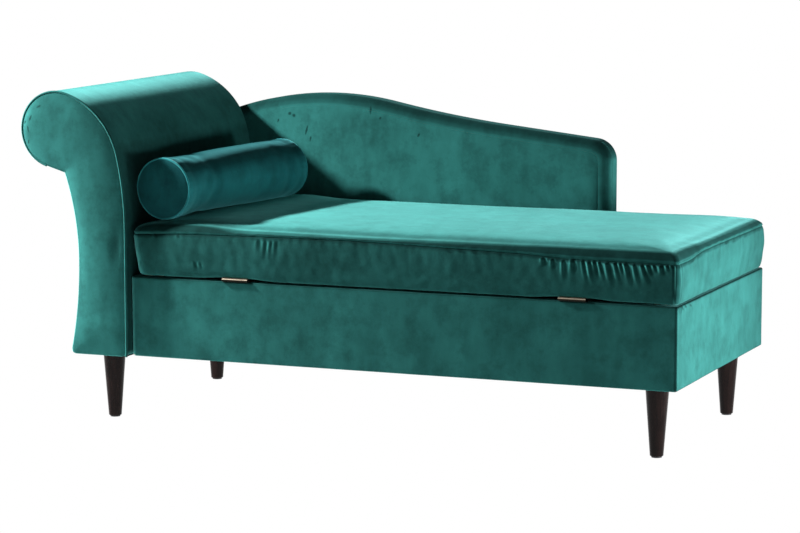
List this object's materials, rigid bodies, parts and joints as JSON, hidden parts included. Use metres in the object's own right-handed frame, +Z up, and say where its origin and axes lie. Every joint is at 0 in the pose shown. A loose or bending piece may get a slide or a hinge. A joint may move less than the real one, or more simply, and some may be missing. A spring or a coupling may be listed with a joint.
{
  "type": "recamier",
  "caption": "Velvet recamier with a rolled head end, a low sweeping back rail, a lift-up storage seat, a loose round bolster and tapered legs.",
  "frame": {"origin": "on the floor, under the middle of the bounding box", "axes": "+X towards the foot end, +Y towards the back rail, +Z up"},
  "size_m": [1.4943, 0.7457, 0.7255],
  "materials": {
    "velvet": "emerald velvet",
    "bolster_velvet": "teal velvet",
    "foam": "open-cell foam and fibre",
    "plywood": "raw",
    "frame_wood": "sawn",
    "lining_cloth": "black non-woven",
    "leg_wood": "dark espresso lacquer",
    "zinc_steel": "zinc plated",
    "hinge_brass": "satin plated",
    "black_plastic": "matte",
    "rubber": "matte"
  },
  "bodies": {
    "base": {"box_cover": "velvet", "head_cover_band": "velvet", "head_front_panel": "velvet", "head_rear_panel": "velvet", "head_piping": "velvet", "back_cover": "velvet", "box_wadding": "foam", "head_foam": "foam", "back_foam": "foam", "box_front_panel": "plywood", "box_rear_panel": "plywood", "box_head_panel": "plywood", "box_foot_panel": "plywood", "box_floor_panel": "plywood", "head_rib_front": "plywood", "head_rib_middle": "plywood", "head_rib_rear": "plywood", "head_skin": "plywood", "head_bottom_board": "plywood", "back_face_board": "plywood", "foot_leg_rail": "frame_wood", "head_floor_batten": "frame_wood", "middle_floor_batten": "frame_wood", "box_corner_posts": "frame_wood", "head_stretchers": "frame_wood", "head_bolt_board": "frame_wood", "back_frame": "frame_wood", "bin_lining": "lining_cloth", "box_dust_cover": "lining_cloth", "head_dust_cover": "lining_cloth", "leg_front_head": "leg_wood", "leg_rear_head": "leg_wood", "leg_front_foot": "leg_wood", "leg_rear_foot": "leg_wood", "leg_hanger_bolts": "zinc_steel", "leg_tee_nuts": "zinc_steel", "joining_bolts": "zinc_steel", "joining_tee_nuts": "zinc_steel", "hinge_lower_screws": "zinc_steel", "hinge_lower_leaves": "hinge_brass", "hinge_pins": "hinge_brass", "leg_glides": "black_plastic"},
    "lid": {"lid_frame": "frame_wood", "lid_board": "plywood", "seat_foam": "foam", "seat_cover": "velvet", "lid_lining": "lining_cloth", "lid_buffers": "rubber", "hinge_upper_leaves": "hinge_brass", "hinge_upper_screws": "zinc_steel"},
    "bolster": {"bolster_filling": "foam", "bolster_cover": "bolster_velvet", "bolster_front_panel": "bolster_velvet", "bolster_rear_panel": "bolster_velvet", "bolster_front_piping": "bolster_velvet", "bolster_rear_piping": "bolster_velvet"}
  },
  "joints": [
    {"name": "lid_hinge", "type": "hinge", "parent": "base", "child": "lid", "pos_m": [0, -0.35145, 0.329], "axis": [1, 0, 0], "range_deg": [0, 90]},
    {"name": "bolster_lift", "type": "slide", "parent": "lid", "child": "bolster", "axis": [0, 0, 1], "range_m": [0, 0.25]}
  ]
}
